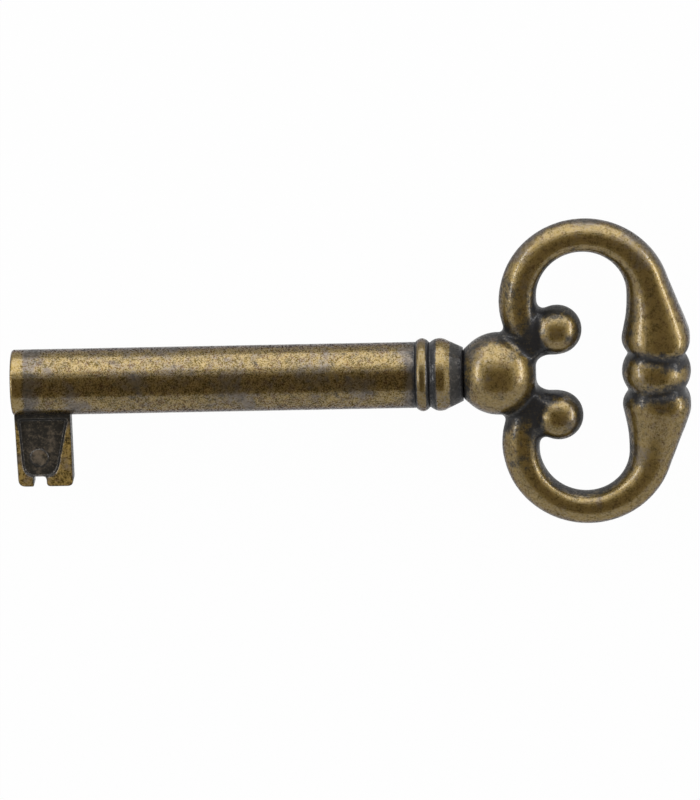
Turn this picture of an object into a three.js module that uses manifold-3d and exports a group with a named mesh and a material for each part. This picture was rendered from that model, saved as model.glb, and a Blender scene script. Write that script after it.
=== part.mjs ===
// Barrel key for furniture, with a pierced scroll bow
// Millimetres, +Z up. The key lies flat with its tip towards -X, its bow towards +X and its bit towards -Y.
// The barrel's axis is the X axis until the last step, which sets the origin under the middle of the key.
import * as THREE from 'three';
import { mergeVertices } from 'three/addons/utils/BufferGeometryUtils.js';
import Module from 'manifold-3d';

const wasm = await Module();
wasm.setup();

// Barrel: the tube that turns on the lock's pin
const barrelDiameter = 7;
const barrelLength = 42.9;
const boreDiameter = 4;
const rimChamfer = 0.15;

// Clearance of every brazed or slid joint between two pieces
const jointClearance = 0.1;

// Bit: the plate that throws the bolt. Its tenon is let into a slot in the barrel's wall,
// and is thinner than the plate, whose shoulders stop just short of the barrel.
const bitWidth = 6;
const bitSetback = 0.1;
const bitDrop = 7.8;
const bitThickness = 2.2;
const bitTenonDepth = 0.9;
const bitTenonThickness = 1.6;
const bitFrontLean = 0.15;
const bitFrontRound = 0.8;
const bitBackRound = 0.6;
const bitEdgeRound = 0.15;

// Warding notch in the bit's lower edge
const notchWidth = 1.37;
const notchDepth = 1.08;
const notchSetback = 1.8;
const notchRound = 0.42;

// Sunk panel in each face of the bit, and the round boss left standing in it
const panelDepth = 0.35;
const panelFrontBorder = 0.45;
const panelBackBorder = 0.3;
const panelHeadBorder = 0.35;
const panelFootBorder = 1.25;
const panelFootRound = 1.2;
const panelHeadRound = 0.35;
const panelFrontTaper = 0.2;
const panelBackTaper = 1.45;
const bossDiameter = 1.9;
const bossRise = 0.2;

// Collar ring: the loose ring between the barrel's end and the ferrule
const ringWidth = 1.4;
const ringDiameter = 7.74;

// Collar ferrule: the second ring, with the cone that runs down to the neck
const grooveFloorDiameter = 7.14;
const grooveWidth = 0.15;
const ferruleCrestDiameter = 7.71;
const ferruleRingWidth = 1.78;
const ferruleRingEdgeDiameter = 7.27;
const ferruleConeLength = 1.67;
const ferruleConeEndDiameter = 5.7;

// Bow stem: the spigot that carries the collar and seats in the barrel's bore
const stemDiameter = boreDiameter - 2 * jointClearance;
const stemSeatLength = 9;
const stemChamfer = 0.3;

// Ball at the root of the bow
const ballDiameter = 8.8;
const neckDiameter = 5.5;
const neckLength = 0.27;
const ballFlatDepth = 0.4;

// Web between the ball and the two scroll ends
const webThickness = 1.8;
const webFillet = 1.05;

// Scroll arm: one chain of arcs from the bead's groove round to the scroll's eye
const eyeReach = 6.32;
const eyeDiameter = 5.28;
const bellArcRadius = 35;
const crownArcRadius = 6.93;
const tailArcRadius = 7.75;
const curlArcRadius = 2.9;
const bellTurnDegrees = 12.5;
const crownTurnDegrees = 156.6;
const tailTurnDegrees = 52.5;
const curlTurnDegrees = 22;

// The tail is the third arc of the chain, counted from nought
const tailArcNumber = 2;

// Girth of the arm at its named places
const bellDiameter = 7.31;
const armDiameter = 3.54;
const shoulderDiameter = 3.98;
const tailDiameter = 3.3;
const curlTipDiameter = 0.7;

// Bead between the two bells
const beadDiameter = 7.33;
const beadHeight = 4.05;
const beadGrooveDiameter = 5.75;

// Facets round a circle and along a curve
const turnedSides = 48;
const bossSides = 24;
const armSides = 22;
const ballRows = 22;
const eyeSides = 26;
const eyeRows = 16;
const arcStepDegrees = 5.5;
const bellSteps = 12;
const curveSteps = 8;
const cornerSteps = 5;

// One overrun serves every cut
const cutOverrun = 1;

// Places along the barrel's axis, worked out from the sizes above
const ringStart = barrelLength;
const ferruleStart = ringStart + ringWidth;
const neckStart = ferruleStart + grooveWidth + ferruleRingWidth + ferruleConeLength;
const ballRadius = ballDiameter / 2;
const neckRadius = neckDiameter / 2;
const ballCentre = neckStart + neckLength + Math.sqrt(ballRadius ** 2 - neckRadius ** 2);
const ballFlat = ballCentre + ballRadius - ballFlatDepth;
const stemStart = barrelLength - stemSeatLength;

// Levels across the bit: its foot, its shoulders under the barrel and the top of its tenon
const bitFoot = -barrelDiameter / 2 - bitDrop;
const bitShoulder = -Math.sqrt((barrelDiameter / 2) ** 2 - (bitTenonThickness / 2) ** 2) - jointClearance;
const tenonTop = -barrelDiameter / 2 + bitTenonDepth;

const brassColours = { barrel: 0x8f7d52, bit: 0x857449, ring: 0x9a8657, ferrule: 0x8a784c, bow: 0x93803f };

const radians = THREE.MathUtils.degToRad;
const mix = THREE.MathUtils.lerp;

// Six times the volume inside a closed mesh, below zero where its faces point inwards
function signedVolume(geometry) {
  const place = geometry.attributes.position;
  const corners = geometry.index.array;
  const [a, b, c] = [new THREE.Vector3(), new THREE.Vector3(), new THREE.Vector3()];
  let sum = 0;
  for (let i = 0; i < corners.length; i += 3) {
    a.fromBufferAttribute(place, corners[i]);
    b.fromBufferAttribute(place, corners[i + 1]);
    c.fromBufferAttribute(place, corners[i + 2]);
    sum += a.dot(b.cross(c));
  }
  return sum;
}

// A closed geometry as a solid that can be joined and cut
function solidOf(geometry) {
  const bare = geometry.clone();
  bare.deleteAttribute('normal');
  bare.deleteAttribute('uv');
  const closed = mergeVertices(bare);
  const corners = Uint32Array.from(closed.index.array);
  if (signedVolume(closed) < 0) {
    for (let i = 0; i < corners.length; i += 3) {
      [corners[i], corners[i + 1]] = [corners[i + 1], corners[i]];
    }
  }
  const places = Float32Array.from(closed.attributes.position.array);
  return new wasm.Manifold(new wasm.Mesh({ numProp: 3, vertProperties: places, triVerts: corners }));
}

// A solid as a geometry again
function geometryOf(solid) {
  const mesh = solid.getMesh();
  const geometry = new THREE.BufferGeometry();
  geometry.setAttribute('position', new THREE.BufferAttribute(Float32Array.from(mesh.vertProperties), 3));
  geometry.setIndex(Array.from(mesh.triVerts));
  geometry.computeVertexNormals();
  return geometry;
}

// A profile of (radius, place along the axis) turned about the X axis
function turnedOnX(profile) {
  const geometry = new THREE.LatheGeometry(profile, turnedSides);
  geometry.rotateZ(-Math.PI / 2);
  return geometry;
}

// A box from its lowest to its highest corner
function boxBetween(low, high) {
  const size = new THREE.Vector3().subVectors(high, low);
  const geometry = new THREE.BoxGeometry(size.x, size.y, size.z);
  geometry.translate((low.x + high.x) / 2, (low.y + high.y) / 2, (low.z + high.z) / 2);
  return geometry;
}

// A flat outline given thickness, centred on the key's middle plane
function plateOf(outline, thickness) {
  const settings = { depth: thickness, bevelEnabled: false, curveSegments: cornerSteps };
  const geometry = new THREE.ExtrudeGeometry(outline, settings);
  geometry.translate(0, 0, -thickness / 2);
  return geometry;
}

// A closed outline through corners that each have their own rounding
function roundedOutline(corners) {
  const outline = new THREE.Shape();
  corners.forEach((corner, i) => {
    const before = corners[(i + corners.length - 1) % corners.length];
    const after = corners[(i + 1) % corners.length];
    const enter = towards(corner, before, corner.round);
    const leave = towards(corner, after, corner.round);
    if (i === 0) {
      outline.moveTo(enter.x, enter.y);
    } else {
      outline.lineTo(enter.x, enter.y);
    }
    if (corner.round > 0) {
      outline.quadraticCurveTo(corner.x, corner.y, leave.x, leave.y);
    }
  });
  outline.closePath();
  return outline;
}

// The point at a distance from one corner along the edge to another
function towards(from, to, distance) {
  const edge = new THREE.Vector2(to.x - from.x, to.y - from.y);
  edge.setLength(distance);
  return new THREE.Vector2(from.x + edge.x, from.y + edge.y);
}

function barrelTube() {
  const outer = barrelDiameter / 2;
  const bore = boreDiameter / 2;
  const profile = [
    new THREE.Vector2(bore, rimChamfer),
    new THREE.Vector2(bore + rimChamfer, 0),
    new THREE.Vector2(outer - rimChamfer, 0),
    new THREE.Vector2(outer, rimChamfer),
    new THREE.Vector2(outer, barrelLength),
    new THREE.Vector2(bore, barrelLength),
    new THREE.Vector2(bore, rimChamfer),
  ];
  return solidOf(turnedOnX(profile)).subtract(bitSlot());
}

// The slot is milled in from the tip, so it is open at the front and below
function bitSlot() {
  const halfWidth = bitTenonThickness / 2 + jointClearance;
  const floor = tenonTop + jointClearance;
  const end = bitSetback + bitWidth + jointClearance;
  const low = new THREE.Vector3(-cutOverrun, -barrelDiameter / 2 - cutOverrun, -halfWidth);
  const high = new THREE.Vector3(end, floor, halfWidth);
  return solidOf(boxBetween(low, high));
}

// The bit's outline, with the notch that lets it pass the lock's ward
function bitPlate() {
  const front = bitSetback;
  const back = bitSetback + bitWidth;
  const notchFront = front + notchSetback;
  const notchBack = notchFront + notchWidth;
  const outline = roundedOutline([
    { x: front, y: tenonTop, round: 0 },
    { x: front + bitFrontLean, y: bitFoot, round: bitFrontRound },
    { x: notchFront, y: bitFoot, round: bitEdgeRound },
    { x: notchFront, y: bitFoot + notchDepth, round: 0 },
    { x: notchBack, y: bitFoot + notchDepth, round: notchRound },
    { x: notchBack, y: bitFoot, round: notchRound },
    { x: back, y: bitFoot, round: bitBackRound },
    { x: back, y: tenonTop, round: 0 },
  ]);
  return solidOf(plateOf(outline, bitThickness));
}

// What is milled off the plate's face above its shoulder, down to the tenon
function shoulderCut() {
  const low = new THREE.Vector3(-cutOverrun, bitShoulder, bitTenonThickness / 2);
  const back = bitSetback + bitWidth + cutOverrun;
  const high = new THREE.Vector3(back, tenonTop + cutOverrun, bitThickness / 2 + cutOverrun);
  return solidOf(boxBetween(low, high));
}

// The sunk panel narrows towards the bit's foot
function panelRecess() {
  const head = bitShoulder - panelHeadBorder;
  const foot = bitFoot + panelFootBorder;
  const front = bitSetback + panelFrontBorder;
  const back = bitSetback + bitWidth - panelBackBorder;
  const footFront = front + panelFrontTaper;
  const footBack = back - panelBackTaper;
  const outline = roundedOutline([
    { x: front, y: head, round: panelHeadRound },
    { x: footFront, y: foot, round: panelFootRound },
    { x: footBack, y: foot, round: panelFootRound },
    { x: back, y: head, round: panelHeadRound },
  ]);
  const recess = plateOf(outline, panelDepth + cutOverrun);
  recess.translate(0, 0, bitThickness / 2 - panelDepth + (panelDepth + cutOverrun) / 2);
  return solidOf(recess);
}

// A plain round boss low in the panel, above the notch
function panelBoss() {
  const middle = bitSetback + notchSetback + notchWidth / 2;
  const height = bossRise + panelDepth;
  const boss = new THREE.CylinderGeometry(bossDiameter / 2, bossDiameter / 2, height, bossSides);
  boss.rotateX(Math.PI / 2);
  const floor = bitThickness / 2 - panelDepth;
  boss.translate(middle, bitFoot + panelFootBorder + bossDiameter, floor + (bossRise - panelDepth) / 2);
  return solidOf(boss);
}

function bitWithPanels() {
  const cut = panelRecess().add(shoulderCut());
  const boss = panelBoss();
  const underside = [0, 0, 1];
  return bitPlate()
    .subtract(cut)
    .subtract(cut.mirror(underside))
    .add(boss)
    .add(boss.mirror(underside));
}

// A crowned ring: its outside is one arc that swells from edge to crest and back
function collarRing() {
  const bore = stemDiameter / 2 + jointClearance;
  const edge = barrelDiameter / 2;
  const crest = ringDiameter / 2;
  const crown = new THREE.Path();
  crown.moveTo(edge, ringStart);
  crown.quadraticCurveTo(2 * crest - edge, ringStart + ringWidth / 2, edge, ferruleStart);
  const profile = [new THREE.Vector2(bore, ringStart), ...crown.getPoints(curveSteps)];
  profile.push(new THREE.Vector2(bore, ferruleStart), new THREE.Vector2(bore, ringStart));
  return solidOf(turnedOnX(profile));
}

function collarFerrule() {
  const bore = stemDiameter / 2 + jointClearance;
  const floor = grooveFloorDiameter / 2;
  const crest = ferruleCrestDiameter / 2;
  const edge = ferruleRingEdgeDiameter / 2;
  const ringFront = ferruleStart + grooveWidth;
  const ringBack = ringFront + ferruleRingWidth;
  const crown = new THREE.Path();
  crown.moveTo(floor, ringFront);
  crown.quadraticCurveTo(2 * crest - (floor + edge) / 2, (ringFront + ringBack) / 2, edge, ringBack);
  const profile = [
    new THREE.Vector2(bore, ferruleStart),
    new THREE.Vector2(floor, ferruleStart),
    ...crown.getPoints(curveSteps),
    new THREE.Vector2(ferruleConeEndDiameter / 2, neckStart),
    new THREE.Vector2(bore, neckStart),
    new THREE.Vector2(bore, ferruleStart),
  ];
  return solidOf(turnedOnX(profile));
}

// Stem, neck and ball are one turned form, flattened where the bow's opening begins
function ballAndStem() {
  const stem = stemDiameter / 2;
  const neckFace = neckStart + jointClearance;
  const profile = [
    new THREE.Vector2(0, stemStart),
    new THREE.Vector2(stem - stemChamfer, stemStart),
    new THREE.Vector2(stem, stemStart + stemChamfer),
    new THREE.Vector2(stem, neckFace),
    new THREE.Vector2(neckRadius, neckFace),
  ];
  const firstAngle = Math.asin(neckRadius / ballRadius);
  for (let row = 0; row <= ballRows; row += 1) {
    const angle = mix(firstAngle, Math.PI, row / ballRows);
    const radius = row === ballRows ? 0 : ballRadius * Math.sin(angle);
    profile.push(new THREE.Vector2(radius, ballCentre - ballRadius * Math.cos(angle)));
  }
  const reach = ballDiameter + cutOverrun;
  const low = new THREE.Vector3(ballFlat, -reach, -reach);
  const high = new THREE.Vector3(ballFlat + reach, reach, reach);
  return solidOf(turnedOnX(profile)).subtract(solidOf(boxBetween(low, high)));
}

// The chain of arcs that the middle of the upper arm follows, from the bead's groove to the curl's end.
// It is laid out from x = 0 and carries, at each step, the share of its arc that lies behind it.
function armStations() {
  const arcs = [
    { radius: bellArcRadius, turn: radians(bellTurnDegrees), steps: bellSteps },
    { radius: crownArcRadius, turn: radians(crownTurnDegrees) },
    { radius: tailArcRadius, turn: radians(tailTurnDegrees) },
    { radius: curlArcRadius, turn: radians(curlTurnDegrees) },
  ];
  const start = new THREE.Vector2(0, beadHeight / 2);
  const stations = [];
  let heading = Math.PI / 2;
  let centre = new THREE.Vector2();
  arcs.forEach((arc, number) => {
    const aside = new THREE.Vector2(-Math.sin(heading), Math.cos(heading));
    centre = start.clone().addScaledVector(aside, arc.radius);
    const steps = arc.steps ?? Math.ceil(arc.turn / radians(arcStepDegrees));
    for (let step = number === 0 ? 0 : 1; step <= steps; step += 1) {
      const angle = heading + (arc.turn * step) / steps;
      const outward = new THREE.Vector2(Math.sin(angle), -Math.cos(angle));
      const place = outward.multiplyScalar(arc.radius).add(centre);
      stations.push({ place, heading: angle, along: number + step / steps });
    }
    heading += arc.turn;
    start.copy(stations[stations.length - 1].place);
  });
  return { stations, eye: centre };
}

// Diameter of the arm along its chain. Each stop has its place, counted in arcs from the bead's groove,
// the two diameters that it lies between and its share of the way from the first to the second.
function armGirth() {
  const stops = [
    { place_share: 0, from: beadGrooveDiameter, to: bellDiameter, way_share: 0 },
    { place_share: 0.07, from: beadGrooveDiameter, to: bellDiameter, way_share: 0.6 },
    { place_share: 0.2, from: armDiameter, to: bellDiameter, way_share: 1 },
    { place_share: 0.4, from: armDiameter, to: bellDiameter, way_share: 0.84 },
    { place_share: 0.61, from: armDiameter, to: bellDiameter, way_share: 0.6 },
    { place_share: 1.03, from: armDiameter, to: bellDiameter, way_share: 0.25 },
    { place_share: 1.23, from: armDiameter, to: bellDiameter, way_share: 0.1 },
    { place_share: 1.47, from: armDiameter, to: shoulderDiameter, way_share: 0 },
    { place_share: 1.71, from: armDiameter, to: shoulderDiameter, way_share: 0 },
    { place_share: 1.9, from: armDiameter, to: shoulderDiameter, way_share: 0.5 },
    { place_share: 2.1, from: armDiameter, to: shoulderDiameter, way_share: 1 },
    { place_share: 2.5, from: tailDiameter, to: shoulderDiameter, way_share: 1 },
    { place_share: 3, from: tailDiameter, to: shoulderDiameter, way_share: 0 },
    { place_share: 3.5, from: curlTipDiameter, to: tailDiameter, way_share: 0.5 },
    { place_share: 4, from: curlTipDiameter, to: tailDiameter, way_share: 0 },
  ];
  const place_shares = stops.map((stop) => stop.place_share);
  const diameters = stops.map((stop) => mix(stop.from, stop.to, stop.way_share));
  return new THREE.CubicInterpolant(place_shares, diameters, 1, [0]);
}

// A round bar of changing girth: one ring of points at each station, closed by a fan at each end
function roundBar(stations) {
  const places = [];
  const corners = [];
  stations.forEach(({ place, heading, radius }) => {
    for (let side = 0; side < armSides; side += 1) {
      const angle = (2 * Math.PI * side) / armSides;
      const across = radius * Math.cos(angle);
      places.push(place.x - across * Math.sin(heading), place.y + across * Math.cos(heading));
      places.push(radius * Math.sin(angle));
    }
  });
  const rings = stations.length;
  for (let ring = 0; ring < rings - 1; ring += 1) {
    for (let side = 0; side < armSides; side += 1) {
      const next = (side + 1) % armSides;
      const [a, b] = [ring * armSides + side, ring * armSides + next];
      const [c, d] = [a + armSides, b + armSides];
      corners.push(a, c, b, b, c, d);
    }
  }
  const first = stations[0].place;
  const last = stations[rings - 1].place;
  const hub = rings * armSides;
  places.push(first.x, first.y, 0, last.x, last.y, 0);
  for (let side = 0; side < armSides; side += 1) {
    const next = (side + 1) % armSides;
    corners.push(hub, side, next);
    corners.push(hub + 1, hub - armSides + next, hub - armSides + side);
  }
  const geometry = new THREE.BufferGeometry();
  geometry.setAttribute('position', new THREE.Float32BufferAttribute(places, 3));
  geometry.setIndex(corners);
  return geometry;
}

function scrollArm(chain, shift) {
  const girth = armGirth();
  const stations = chain.stations.map(({ place, heading, along }) => ({
    place: new THREE.Vector2(place.x + shift, place.y),
    heading,
    radius: girth.evaluate(along)[0] / 2,
  }));
  const root = stations[0];
  stations.unshift({ ...root, place: new THREE.Vector2(root.place.x, 0) });
  return solidOf(roundBar(stations));
}

function scrollEye(place) {
  const ball = new THREE.SphereGeometry(eyeDiameter / 2, eyeSides, eyeRows);
  ball.rotateX(Math.PI / 2);
  ball.translate(place.x, place.y, 0);
  return solidOf(ball);
}

// The bead is a slice of a flattened ball whose ends have the groove's diameter
function beadBetweenBells(x) {
  const crest = beadDiameter / 2;
  const half = beadHeight / 2;
  const semiHeight = half / Math.sqrt(1 - (beadGrooveDiameter / beadDiameter) ** 2);
  const profile = [new THREE.Vector2(0, -half)];
  for (let step = 0; step <= curveSteps; step += 1) {
    const y = mix(-half, half, step / curveSteps);
    profile.push(new THREE.Vector2(crest * Math.sqrt(1 - (y / semiHeight) ** 2), y));
  }
  profile.push(new THREE.Vector2(0, half));
  const bead = new THREE.LatheGeometry(profile, turnedSides);
  bead.translate(x, 0, 0);
  return solidOf(bead);
}

// The web fills the fork between ball and scrolls, with a hollow fillet in each corner of the opening
function webPlate(eye) {
  const edge = eye.y - eyeDiameter / 2;
  const level = edge - webFillet;
  const corner = ballFlat + webFillet;
  const outline = new THREE.Shape();
  outline.moveTo(ballCentre, 0);
  outline.lineTo(eye.x, -eye.y);
  outline.lineTo(eye.x, -edge);
  outline.lineTo(corner, -edge);
  outline.absarc(corner, -level, webFillet, -Math.PI / 2, -Math.PI, true);
  outline.absarc(corner, level, webFillet, Math.PI, Math.PI / 2, true);
  outline.lineTo(eye.x, edge);
  outline.lineTo(eye.x, eye.y);
  outline.closePath();
  return solidOf(plateOf(outline, webThickness));
}

// The web between an eye and the tail that curls round it, from the tail's start to the curl's end
function creviceWeb(chain, shift, eye) {
  const outline = new THREE.Shape();
  outline.moveTo(eye.x, eye.y);
  chain.stations
    .filter(({ along }) => along >= tailArcNumber)
    .forEach(({ place }) => outline.lineTo(place.x + shift, place.y));
  outline.closePath();
  return solidOf(plateOf(outline, webThickness));
}

function scrollBow() {
  const chain = armStations();
  const shift = ballCentre + eyeReach - chain.eye.x;
  const eye = new THREE.Vector2(chain.eye.x + shift, chain.eye.y);
  const half = scrollArm(chain, shift).add(scrollEye(eye)).add(creviceWeb(chain, shift, eye));
  const lower = half.mirror([0, 1, 0]);
  return ballAndStem().add(half).add(lower).add(beadBetweenBells(shift)).add(webPlate(eye));
}

function piece(name, solid, colour) {
  const material = new THREE.MeshStandardMaterial({ color: colour, metalness: 1, roughness: 0.42 });
  const mesh = new THREE.Mesh(geometryOf(solid), material);
  mesh.name = name;
  return mesh;
}

const key = new THREE.Group();
key.add(piece('barrel', barrelTube(), brassColours.barrel));
key.add(piece('bit', bitWithPanels(), brassColours.bit));
key.add(piece('collar_ring', collarRing(), brassColours.ring));
key.add(piece('collar_ferrule', collarFerrule(), brassColours.ferrule));
key.add(piece('bow', scrollBow(), brassColours.bow));

// The origin goes to the middle of the key's box, at the level of its lowest point
const box = new THREE.Box3().setFromObject(key);
key.position.set(-(box.min.x + box.max.x) / 2, -(box.min.y + box.max.y) / 2, -box.min.z);

const part = new THREE.Group();
part.add(key);
export default part;
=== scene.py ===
"""A furniture key in aged brass, made as a small add-on: shank, bit, collar and scrolled bow."""

import math
from collections import namedtuple
from types import SimpleNamespace

import bmesh
import bpy
import numpy as np
from bpy.props import FloatProperty, FloatVectorProperty, PointerProperty
from mathutils import Matrix, Vector
from mathutils.bvhtree import BVHTree


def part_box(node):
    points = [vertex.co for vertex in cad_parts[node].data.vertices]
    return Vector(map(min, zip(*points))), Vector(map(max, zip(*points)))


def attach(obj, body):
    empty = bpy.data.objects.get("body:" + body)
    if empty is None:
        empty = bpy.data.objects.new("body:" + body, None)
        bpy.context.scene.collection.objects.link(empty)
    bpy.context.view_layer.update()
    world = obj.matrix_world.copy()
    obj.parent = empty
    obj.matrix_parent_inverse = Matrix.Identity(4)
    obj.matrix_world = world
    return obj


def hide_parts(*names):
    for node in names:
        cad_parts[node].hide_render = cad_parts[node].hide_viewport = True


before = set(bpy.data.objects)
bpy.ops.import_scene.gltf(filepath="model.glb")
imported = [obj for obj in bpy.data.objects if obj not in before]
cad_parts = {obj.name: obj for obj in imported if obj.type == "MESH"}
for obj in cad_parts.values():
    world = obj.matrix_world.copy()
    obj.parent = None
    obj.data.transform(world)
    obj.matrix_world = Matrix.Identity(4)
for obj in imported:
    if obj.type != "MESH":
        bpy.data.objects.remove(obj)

bl_info = {
    "name": "Furniture key",
    "version": (1, 0, 0),
    "blender": (4, 5, 0),
    "location": "3D View > Sidebar > Key",
    "description": "Models a barrel key for furniture in aged brass",
    "category": "Add Mesh",
}

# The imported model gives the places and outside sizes, in metres
BARREL_LOW, BARREL_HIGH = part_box("barrel")
BIT_LOW, BIT_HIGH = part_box("bit")
RING_LOW, RING_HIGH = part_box("collar_ring")
FERRULE_LOW, FERRULE_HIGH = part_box("collar_ferrule")
BOW_LOW, BOW_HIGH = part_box("bow")
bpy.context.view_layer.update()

# Shapes are modelled in millimetres from the middle of the tip, and set in place when they are finished
MM_PER_METRE = 1000.0
TIP = Vector((BARREL_LOW.x, 0.0, (BARREL_LOW.z + BARREL_HIGH.z) / 2))
WELD = 1e-4

# Facets round a circle and along a curve
TURNED_STEPS = 160
ARC_STEPS = 40
CORNER_STEPS = 6
PROFILE_STEP = 0.3
BAR_RESOLUTION = 10
BALL_STEPS = 48

# The arm starts inside the bead, and the lean of its crests sets in softly over a share of its girth
ROOT_SHARE = 0.3
CREST_SHARE = 0.25

# A round cutter is this many times as long as what it cuts
CUTTER_SPAN = 4

# Skins round joined shapes, in millimetres
BOW_VOXEL = 0.155
BIT_VOXEL = 0.07
FORK_FILLET = 0.35
BEAD_FILLET = 0.08
SOFTEN_SHARE = 0.5
SWOLLEN_SOFTEN_ROUNDS = 6
BOW_SOFTEN_ROUNDS = 4
BIT_SOFTEN_ROUNDS = 6

# Grime settles where other metal stands close by, and a film forms where it shades the surface from afar
GRIME_REACH = 3.0
SHADE_REACH = 14.0
GRIME_RAYS = 40
GRIME_LIFT = 0.04
GRIME_ROUNDS = 6
FACING_SHARE = 0.1
CREASE_GRIME_SHARE = 0.5
CREASE_SHADE_SHARE = 0.3
THIRD_SHAPE_SHARE = 0.6

# How far grime spreads over each shape of the bow from its seams, in millimetres
CREASE_REACHES = {"ball": 1.6, "web": 3.0, "arm": 2.1, "eye": 1.0, "tail web": 3.0, "bead": 0.9}

# Wear runs from filmed at nought to rubbed at one, and on the flanks of the bit and bow its low end is partly
# painted shade: what each stretch of a piece adds to it or takes from it
SHANK_SHARES = SimpleNamespace(plain=0.5, tip=0.35, film=-0.3, collar=-0.45)
BAND_SHARES = SimpleNamespace(rubbed=1.2, plain=-0.4, before=-1.2)
# The bit's edges are darker, partly film and partly painted shade
BIT_WEAR_AND_SHADE_SHARES = SimpleNamespace(rubbed=0.8, plain=-0.25, flank=-1.2)
# The bow's flanks are darker than its faces, partly film and partly painted shade along the outline
BOW_WEAR_AND_SHADE_SHARES = SimpleNamespace(plain=0.2, proud=0.45)
PROUD_ROUNDS = 8

# How squarely a surface faces front or back where it begins to count as a face, and where it fully does
BORDER_FACING_SHARES = (0.3, 0.8)
FLANK_FACING_SHARES = (0.3, 0.85)
BOW_FACING_SHARES = (0.05, 0.75)

# How strongly each part of the finish weighs in the next
BRASS_SHARES = SimpleNamespace(
    blotch=0.7, wear_gold=0.4, cloud_film=1.8, tint_film=0.8, speckle_film=0.8, wear_film=-1.0, film=0.85,
    stain=0.7, cloud=0.2, broken=-0.45, wear_thick=-0.24, uneven_dirt=0.4, wear_dirt=-0.15,
    thick_matt=0.5, matt=-0.85, film_dull=0.35, speckle_dull=0.1, covered=-0.7)

# The values between which each part of the finish sets in
BRASS_RANGES = SimpleNamespace(umber=(-0.02, 0.1), gold=(-0.16, 0.15), film=(-0.08, 0.42), broken=(0.0, 0.2),
                               thick=(0.01, 0.26), dirt=(0.14, 0.46), glint=(-0.14, 0.1))

# The noises of the finish
FINE_DETAIL = 3.0
SOFT_DETAIL = 2.0
NOISE_ROUGHNESS = 0.6
TINT_SEED = 7.0
STAIN_SEED = 13.0

# Index of refraction of the clear film, which also keeps the metal from brightening towards its outline
LACQUER_INDEX = 1.62
RIM_TINT = (0.22, 0.21, 0.2, 1.0)

# How each piece differs in grain, speckles, depth of bumps in metres, dullness, grime and painted light
# (brass made paler or darker for how brightly the piece is lit)
Look = namedtuple("Look", "grain_share speckle relief dulled grime_share gleam_share",
                  defaults=(0.9, 0.9, 0.000014, 0.0, 1.0, 1.0))
PIECES = {
    "key_shank": Look(speckle=1.0, relief=0.000018, grime_share=4.0),
    "key_bit": Look(grain_share=1.0, speckle=1.0, relief=0.00003, dulled=0.36, grime_share=0.7,
                    gleam_share=1.75),
    "key_ring": Look(dulled=0.1, grime_share=1.3, gleam_share=0.68),
    "key_ferrule": Look(dulled=0.04, grime_share=1.6, gleam_share=0.88),
    "key_bow": Look(speckle=0.72, dulled=0.12, grime_share=0.9),
}

# The photograph's height in pixels, the sensor's in millimetres, and how near the camera sees
IMAGE_HEIGHT = 800
SENSOR_HEIGHT = 24.0
CLIP_SHARE = 0.1

# The stage: angles up and aside from the camera's line in degrees, sizes in metres
SoftBox = namedtuple("SoftBox", "up aside width height light")
SOFT_BOXES = {
    "soft box top": SoftBox(up=62.5, aside=0, width=0.80, height=0.475, light="top_light"),
    "soft box left": SoftBox(up=6, aside=-62, width=0.062, height=0.40, light="side_light"),
    "soft box right": SoftBox(up=6, aside=67, width=0.08, height=0.40, light="side_light"),
}
CARD_UP = -21
CARD_WIDTH = 1.7
CARD_HEIGHT = 1.38
FLOOR_WIDTH = 1.4
FLOOR_GREY = (0.85, 0.85, 0.85, 1.0)
WHITE = (1.0, 1.0, 1.0, 1.0)


def signed_length(name, description, default):
    return FloatProperty(name=name, description=description, default=default, unit="LENGTH", precision=5)


def length(name, description, default):
    return FloatProperty(name=name, description=description, default=default, min=0.0, unit="LENGTH",
                         precision=5)


def angle(name, description, degrees):
    return FloatProperty(name=name, description=description, default=math.radians(degrees), subtype="ANGLE")


def share(name, description, default):
    return FloatProperty(name=name, description=description, default=default, min=0.0, max=1.0,
                         subtype="FACTOR")


def amount(name, description, default):
    return FloatProperty(name=name, description=description, default=default, min=0.0)


def colour(name, description, default):
    return FloatVectorProperty(name=name, description=description, default=default, size=4, subtype="COLOR",
                               min=0.0, max=1.0)


class BarrelSizes(bpy.types.PropertyGroup):
    diameter: length("Diameter", "Outside diameter of the shank", BARREL_HIGH.z - BARREL_LOW.z)
    shank_length: length("Length", "Length of the shank", BARREL_HIGH.x - BARREL_LOW.x)
    bore: length("Bore", "Diameter of the bore for the lock's pin", 0.0040)
    rim_round: length("Rim rounding", "Rounding of the tip's rims", 0.00035)
    end_round: length("End rounding", "Rounding at the collar's end", 0.00012)
    clearance: length("Clearance", "Gap between the bit and its slot", 0.0001)


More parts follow.
